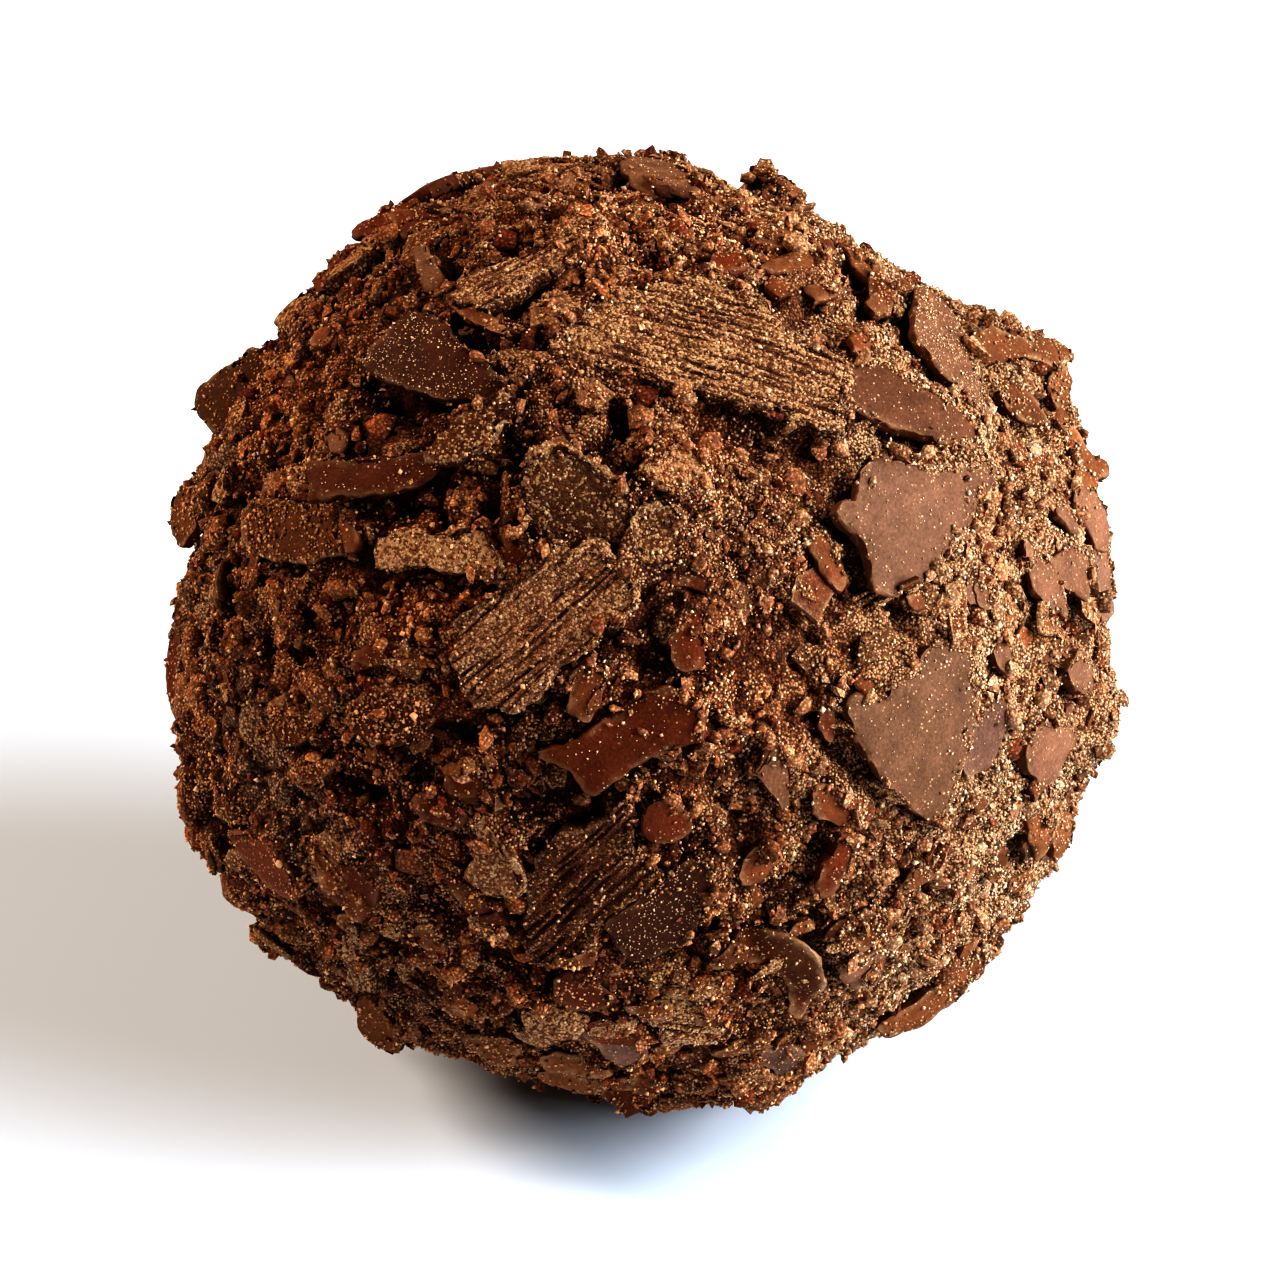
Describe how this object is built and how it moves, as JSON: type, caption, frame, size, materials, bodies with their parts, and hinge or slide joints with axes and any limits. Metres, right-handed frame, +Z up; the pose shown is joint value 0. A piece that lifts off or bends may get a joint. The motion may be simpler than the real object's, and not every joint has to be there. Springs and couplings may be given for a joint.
{
  "type": "chocolate truffle",
  "caption": "Round chocolate truffle with a craggy coat of crumbled chocolate and large flakes of shaved chocolate pressed into it, resting on a small flat spot.",
  "frame": {"origin": "on the surface it rests on, under the middle of the object's box", "axes": "+Z up, -Y towards the side with the best flakes, +X to the right of that side"},
  "size_m": [0.0318, 0.032, 0.0309],
  "materials": {
    "coat": "matt dusty crumb, stands in for crumbled chocolate and cocoa",
    "ridged": "matt dusty shaved slab, stands in for chocolate",
    "smooth": "satin milk chocolate",
    "dark": "satin darker chocolate",
    "dusty": "satin chocolate under cocoa dust"
  },
  "bodies": {
    "root": {"coated_ball": "coat", "slab_top": "ridged", "slab_mid": "ridged", "slab_low": "ridged", "slab_rolled": "ridged", "chip_right": "smooth", "chip_low_right": "smooth", "chip_upper": "smooth", "chip_under": "smooth", "chip_small": "smooth", "chip_rim": "smooth", "chip_speckled": "smooth", "chip_long": "dark", "chip_fold": "dark", "chip_fold_lower": "dusty", "bar_left": "dark", "bar_dusty": "dusty", "shell_centre": "dusty", "chip_dark_low": "dark", "chip_lower_left": "dark", "chip_hollow": "dark", "strip_low": "ridged", "chip_left_edge": "dark", "chip_frosted": "dusty", "chip_red": "dark", "curl_low": "dark", "chip_crown": "smooth", "pellet_front": "dark", "pellet_right": "dark", "slab_layers": "ridged", "slab_back": "ridged", "slab_back_low": "ridged", "chip_back_wide": "smooth", "chip_back_low": "smooth", "chip_back_dark": "dark", "chip_back_long": "dark", "bar_back": "dusty", "chip_back_small": "smooth", "chip_side": "smooth"}
  },
  "joints": []
}
